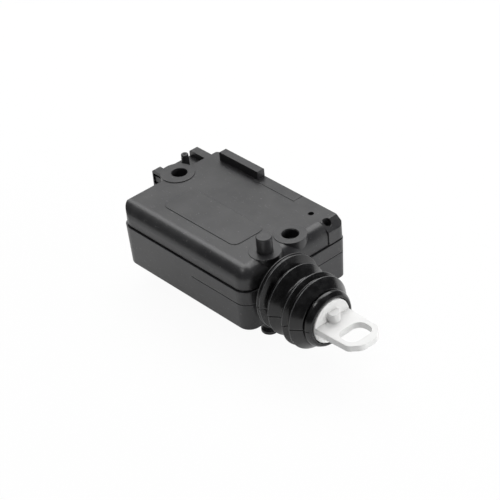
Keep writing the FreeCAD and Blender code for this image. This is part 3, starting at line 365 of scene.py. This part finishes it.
def roundedProfile(corners, steps):
    # corners (along, radius, rounding, lift); each rounded one becomes a short curve
    points = []
    count = len(corners)
    for i in range(count):
        here = Vector((corners[i][0], corners[i][1], corners[i][3]))
        if corners[i][2] == 0:
            points.append(here)
            continue
        ends = []
        for other in (corners[i - 1], corners[(i + 1) % count]):
            way = Vector((other[0], other[1], other[3])) - here
            ends.append(here + way * min(corners[i][2] / way.length, 0.48))
        for k in range(steps + 1):
            t = k / steps
            points.append(ends[0] * (1 - t) ** 2 + here * 2 * t * (1 - t) + ends[1] * t ** 2)
    return points


def makeBellows():
    profile = roundedProfile(bellows["outside"] + bellows["inside"], bellows["rounding"])
    outer = len(roundedProfile(bellows["outside"], bellows["rounding"]))
    turns = [2 * math.pi * i / bellows["around"] for i in range(bellows["around"])]
    level = math.asin(bellows["seamHeight"] / bellows["seamRadius"])
    # how far the wall is set in at each turn: nothing above the seam, its groove, then the step below
    depths = {turn: bellows["seamStep"] if math.sin(turn) < math.sin(level) else 0 for turn in turns}
    cleared, step, deep, brink = bellows["seamTurns"]
    for way, side in ((-1, level), (1, math.pi - level)):
        depths = {turn: depth for turn, depth in depths.items() if abs(turn - side) > cleared}
        depths[side + step * way] = bellows["seamStep"]
        depths[side + deep * way] = bellows["seamGroove"]
        depths[side + brink * way] = bellows["seamGroove"]
        depths[side - brink * way] = 0
    turns = sorted(depths)
    mesh = bmesh.new()
    rings = []
    for turn in turns:
        ring = []
        for i, (along, radius, lift) in enumerate(profile):
            setIn = depths[turn] if i < outer and bellows["seamFrom"] < radius else 0
            across = (radius - setIn) * math.cos(turn)
            up = (radius - setIn) * math.sin(turn) + lift
            ring.append(mesh.verts.new(Vector((bellows["face"] + along, bellows["axisY"] + across, up)) * mm))
        rings.append(ring)
    wide, edge = bellows["crestWidth"], bellows["crestEdge"]
    crests = [(crest - edge, crest + wide + edge) for crest in bellows["crests"]]
    for i in range(len(rings)):
        now, then = rings[i], rings[(i + 1) % len(rings)]
        for k in range(len(profile)):
            after = (k + 1) % len(profile)
            face = mesh.faces.new((now[k], now[after], then[after], then[k]))
            face.smooth = True
            middle = (profile[k] + profile[after]) / 2
            # the crest lands get the pale crest material: a painted highlight, and rubbed wear
            onCrest = any(first < middle[0] < last for first, last in crests)
            if onCrest and k < outer and middle[1] > bellows["crestFrom"]:
                face.material_index = 1
    bmesh.ops.recalc_face_normals(mesh, faces=mesh.faces)
    data = bpy.data.meshes.new("rubberBellows")
    mesh.to_mesh(data)
    mesh.free()
    piece = bpy.data.objects.new("rubberBellows", data)
    bpy.context.scene.collection.objects.link(piece)
    data.materials.append(bellowsRubber)
    data.materials.append(crestHighlightAndWearRubber)
    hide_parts("bellows")
    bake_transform(piece)


makeBellows()
print("bellows made")


# Seat rings: the low raised faces round the pin and the front screw hole

seatRings = {
    "level": 14.3,      # mm, the cover's top
    "rise": 0.22,
    "edge": 0.07,
    "pin": {"centre": (1.0, -13.1), "inner": 2.95, "outer": 5.95},
    "screw": {"centre": (0.0, 0.0), "inner": 3.2, "outer": 6.2},
    "around": 96,
}


def makeSeatRing(name):
    ring = seatRings[name]
    low, top, edge = seatRings["level"], seatRings["level"] + seatRings["rise"], seatRings["edge"]
    section = [
        (ring["inner"], low), (ring["inner"], top - edge), (ring["inner"] + edge, top),
        (ring["outer"] - edge, top), (ring["outer"], top - edge), (ring["outer"], low),
    ]
    mesh = bmesh.new()
    loops = []
    for i in range(seatRings["around"]):
        turn = 2 * math.pi * i / seatRings["around"]
        way = Vector((math.cos(turn), math.sin(turn), 0))
        centre = Vector((*ring["centre"], 0))
        loops.append([
            mesh.verts.new((centre + way * radius + Vector((0, 0, z))) * mm) for radius, z in section
        ])
    for i in range(len(loops)):
        now, then = loops[i], loops[(i + 1) % len(loops)]
        for k in range(len(section) - 1):
            mesh.faces.new((now[k], now[k + 1], then[k + 1], then[k]))
    bmesh.ops.recalc_face_normals(mesh, faces=mesh.faces)
    data = bpy.data.meshes.new(name + "SeatRing")
    mesh.to_mesh(data)
    mesh.free()
    piece = bpy.data.objects.new(name + "SeatRing", data)
    bpy.context.scene.collection.objects.link(piece)
    data.materials.append(casingNylon)
    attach(piece, "housing")


for name in ("pin", "screw"):
    makeSeatRing(name)
print("seat rings made")


# Floor, light and camera

floorSettings = {"size": 4.0, "colour": "#f7f7f7", "ownLight": 0.95, "mirroredLight": 0.5}


def makeFloor():
    lowest = cadBox[0][2]
    data = bpy.data.meshes.new("studioFloor")
    half = floorSettings["size"] / 2
    corners = [(-half, -half, lowest), (half, -half, lowest), (half, half, lowest), (-half, half, lowest)]
    data.from_pydata(corners, [], [(0, 1, 2, 3)])
    floor = bpy.data.objects.new("studioFloor", data)
    bpy.context.scene.collection.objects.link(floor)
    material, tree, output, place = newMaterial("paperSweep")
    grain = addNode(tree, "ShaderNodeTexNoise", {"Scale": perMm(2.0)}, {"Vector": place})
    paper = addNode(
        tree, "ShaderNodeBsdfDiffuse", {"Color": hexColour(floorSettings["colour"])}
    )
    bump = addNode(
        tree, "ShaderNodeBump", {"Strength": 0.02, "Distance": 0.01 * mm}, {"Height": grain.outputs["Fac"]}
    )
    tree.links.new(bump.outputs["Normal"], paper.inputs["Normal"])
    glow = addNode(tree, "ShaderNodeEmission", {"Color": (1, 1, 1, 1), "Strength": 1.0})
    seen = addNode(tree, "ShaderNodeLightPath")
    mirrored = addNode(
        tree, "ShaderNodeMath", {"operation": "MAXIMUM"},
        {0: seen.outputs["Is Glossy Ray"], 1: seen.outputs["Is Transmission Ray"]},
    )
    weaker = addNode(
        tree, "ShaderNodeMath", {"operation": "MULTIPLY", 1: floorSettings["mirroredLight"]},
        {0: mirrored.outputs["Value"]},
    )
    share = addNode(
        tree, "ShaderNodeMath", {"operation": "MULTIPLY_ADD", 1: floorSettings["ownLight"]},
        {0: seen.outputs["Is Camera Ray"], 2: weaker.outputs["Value"]},
    )
    mixed = addNode(
        tree, "ShaderNodeMixShader", {},
        {0: share.outputs["Value"], 1: paper.outputs["BSDF"], 2: glow.outputs["Emission"]},
    )
    tree.links.new(mixed.outputs["Shader"], output.inputs["Surface"])
    data.materials.append(material)


worldStrength = 0.08
softboxes = {
    # places and sizes in metres, power in watts; the front one only fills, and draws no highlight
    "overhead": {"place": (-0.30, 0.31, 0.76), "aim": (-0.02, -0.005, 0.0), "size": (1.0, 0.6), "power": 7.0},
    "rear": {"place": (-0.64, 0.50, 0.45), "aim": (-0.02, -0.005, 0.0), "size": (1.3, 0.7), "power": 2.0},
    "side": {"place": (-0.10, -0.31, 0.78), "aim": (0.0, -0.005, 0.0), "size": (0.3, 0.2), "power": 1.1},
    "front": {"place": (0.72, 0.38, 0.14), "aim": (0.0, -0.005, 0.0), "size": (0.7, 0.5), "power": 5.4},
}


def makeWorld():
    world = bpy.data.worlds.new("studio")
    bpy.context.scene.world = world
    world.use_nodes = True
    tree = world.node_tree
    tree.nodes.clear()
    output = addNode(tree, "ShaderNodeOutputWorld")
    seen = addNode(tree, "ShaderNodeLightPath")
    first = addNode(
        tree, "ShaderNodeMath", {"operation": "MAXIMUM"},
        {0: seen.outputs["Is Camera Ray"], 1: seen.outputs["Is Transmission Ray"]},
    )
    strength = addNode(
        tree, "ShaderNodeMapRange", {"To Min": worldStrength, "To Max": 1.0},
        {"Value": first.outputs["Value"]},
    )
    sky = addNode(
        tree, "ShaderNodeBackground", {"Color": (1, 1, 1, 1)}, {"Strength": strength.outputs["Result"]}
    )
    tree.links.new(sky.outputs["Background"], output.inputs["Surface"])


def makeSoftbox(name):
    settings = softboxes[name]
    data = bpy.data.lights.new(name + "Softbox", "AREA")
    data.shape = "RECTANGLE"
    data.size, data.size_y = settings["size"]
    data.energy = settings["power"]
    lamp = bpy.data.objects.new(name + "Softbox", data)
    lamp.location = settings["place"]
    beam = Vector(settings["aim"]) - Vector(settings["place"])
    lamp.rotation_euler = beam.to_track_quat("-Z", "Y").to_euler()
    lamp.visible_glossy = name != "front"
    bpy.context.scene.collection.objects.link(lamp)


cameraSettings = {
    "azimuth": 51.096, "elevation": 34.781, "roll": -5.569,   # degrees
    "fieldOfView": 15.174,
    "target": (-15.365, -6.624, 3.7),                         # mm, at the picture's middle
    "distance": 679.83,
}


def makeCamera():
    azimuth = math.radians(cameraSettings["azimuth"])
    elevation = math.radians(cameraSettings["elevation"])
    roll = math.radians(cameraSettings["roll"])
    back = Vector((
        math.sin(azimuth) * math.cos(elevation), -math.cos(azimuth) * math.cos(elevation), math.sin(elevation)
    ))
    right = (-back).cross(Vector((0, 0, 1))).normalized()
    up = right.cross(-back)
    across = math.cos(roll) * right + math.sin(roll) * up
    upward = math.cos(roll) * up - math.sin(roll) * right
    data = bpy.data.cameras.new("photoCamera")
    data.angle = math.radians(cameraSettings["fieldOfView"])
    data.clip_start = 0.01
    camera = bpy.data.objects.new("photoCamera", data)
    place = (Vector(cameraSettings["target"]) + back * cameraSettings["distance"]) * mm
    turn = Matrix((across, upward, back)).transposed()
    camera.matrix_world = Matrix.Translation(place) @ turn.to_4x4()
    bpy.context.scene.collection.objects.link(camera)
    bpy.context.scene.camera = camera


makeFloor()
makeWorld()
for name in softboxes:
    makeSoftbox(name)
makeCamera()
bpy.context.scene.view_settings.view_transform = "Standard"
print("floor, light and camera set")

bpy.context.view_layer.update()
